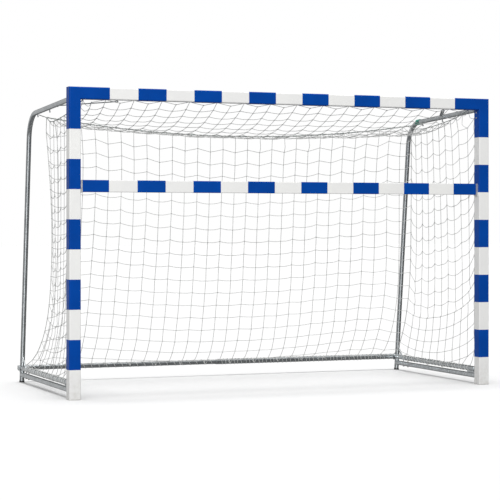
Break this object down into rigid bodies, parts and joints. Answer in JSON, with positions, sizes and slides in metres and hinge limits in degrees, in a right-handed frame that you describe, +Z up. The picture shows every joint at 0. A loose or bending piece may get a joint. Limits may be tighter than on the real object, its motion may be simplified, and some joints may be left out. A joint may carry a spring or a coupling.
{
  "type": "goal frame",
  "caption": "Free-standing small-sided goal with striped square posts, a height-lowering bar, folding net brackets, a plug-in rear tube and a hung net.",
  "frame": {"origin": "centre of the footprint, on the floor", "axes": "+X along the crossbar, +Y from the goal mouth into the net, +Z up"},
  "size_m": [3.161, 1.4766, 2.0805],
  "materials": {
    "white_profile": "satin powder coat",
    "blue_film": "satin film",
    "foot_plastic": "matte",
    "net_twine": "knotted twine",
    "net_rope": "braided rope",
    "black_plastic": "matte",
    "hook_plastic": "matte",
    "cast_aluminium": "cast",
    "zinc_fastener": "zinc plated",
    "galvanised_tube": "galvanised"
  },
  "bodies": {
    "frame": {"bar_holders": "cast_aluminium", "brace_bolts": "zinc_fastener", "brace_spacers": "zinc_fastener", "corner_connectors": "cast_aluminium", "corner_screws": "zinc_fastener", "crossbar": "white_profile", "crossbar_bands": "blue_film", "crossbar_hooks": "hook_plastic", "hinge_bolts": "zinc_fastener", "hinge_pins": "zinc_fastener", "holder_screws": "zinc_fastener", "left_net_side": "net_twine", "left_net_tie": "net_rope", "left_post": "white_profile", "lower_hinge_plates": "galvanised_tube", "net_back": "net_twine", "net_rear_rope": "net_rope", "net_top": "net_twine", "post_bands": "blue_film", "post_feet": "foot_plastic", "post_hooks": "hook_plastic", "right_net_side": "net_twine", "right_net_tie": "net_rope", "right_post": "white_profile", "upper_hinge_plates": "galvanised_tube"},
    "left_bracket": {"left_bracket_tube": "galvanised_tube", "left_hinge_sleeves": "galvanised_tube", "left_upper_rail": "galvanised_tube", "left_lower_rail": "galvanised_tube", "left_rail_bolts": "zinc_fastener", "left_rail_cap": "black_plastic", "left_rail_web": "galvanised_tube", "left_knee_brace": "galvanised_tube", "left_leg_foot": "black_plastic", "left_rear_tube_ledge": "galvanised_tube", "left_arm_hooks": "galvanised_tube", "left_latch_lug": "galvanised_tube"},
    "right_bracket": {"right_bracket_tube": "galvanised_tube", "right_hinge_sleeves": "galvanised_tube", "right_upper_rail": "galvanised_tube", "right_lower_rail": "galvanised_tube", "right_rail_bolts": "zinc_fastener", "right_rail_cap": "black_plastic", "right_rail_web": "galvanised_tube", "right_knee_brace": "galvanised_tube", "right_leg_foot": "black_plastic", "right_rear_tube_ledge": "galvanised_tube", "right_arm_hooks": "galvanised_tube", "right_latch_lug": "galvanised_tube"},
    "left_brace": {"left_brace": "galvanised_tube"},
    "right_brace": {"right_brace": "galvanised_tube"},
    "rear_tube": {"rear_tube_thick": "galvanised_tube", "right_rear_tube_stop": "galvanised_tube"},
    "rear_tube_plug": {"rear_tube_thin": "galvanised_tube", "left_rear_tube_stop": "galvanised_tube"},
    "lowering_bar": {"lowering_bar": "white_profile", "lowering_bar_bands": "blue_film", "bar_end_caps": "cast_aluminium"}
  },
  "joints": [
    {"name": "left_bracket_fold", "type": "hinge", "parent": "frame", "child": "left_bracket", "pos_m": [-1.54, -0.61784, 1], "axis": [0, 0, -1], "range_deg": [0, 90], "deforming": ["left_net_side", "left_net_tie", "net_back", "net_rear_rope", "net_top", "right_net_side", "right_net_tie"]},
    {"name": "right_bracket_fold", "type": "hinge", "parent": "frame", "child": "right_bracket", "pos_m": [1.54, -0.61784, 1], "axis": [0, 0, 1], "range_deg": [0, 90]},
    {"name": "left_brace_swing", "type": "hinge", "parent": "frame", "child": "left_brace", "pos_m": [-1.234, -0.67784, 1.99], "axis": [0, 0, -1], "range_deg": [0, 116.66]},
    {"name": "right_brace_swing", "type": "hinge", "parent": "frame", "child": "right_brace", "pos_m": [1.234, -0.67784, 1.99], "axis": [0, 0, 1], "range_deg": [0, 116.66]},
    {"name": "lowering_bar_lift", "type": "slide", "parent": "frame", "child": "lowering_bar", "axis": [0, 0, 1], "range_m": [0, 0.1]},
    {"name": "rear_tube_lift", "type": "slide", "parent": "frame", "child": "rear_tube", "axis": [0, 0, 1], "range_m": [0, 0.15]},
    {"name": "rear_tube_unplug", "type": "slide", "parent": "rear_tube", "child": "rear_tube_plug", "axis": [-1, 0, 0], "range_m": [0, 0.12]}
  ],
  "couplings": [
    {"joint": "right_bracket_fold", "follows": "left_bracket_fold", "ratio": 1},
    {"joint": "left_brace_swing", "follows": "left_bracket_fold", "ratio": 1.2961},
    {"joint": "right_brace_swing", "follows": "left_bracket_fold", "ratio": 1.2961}
  ]
}
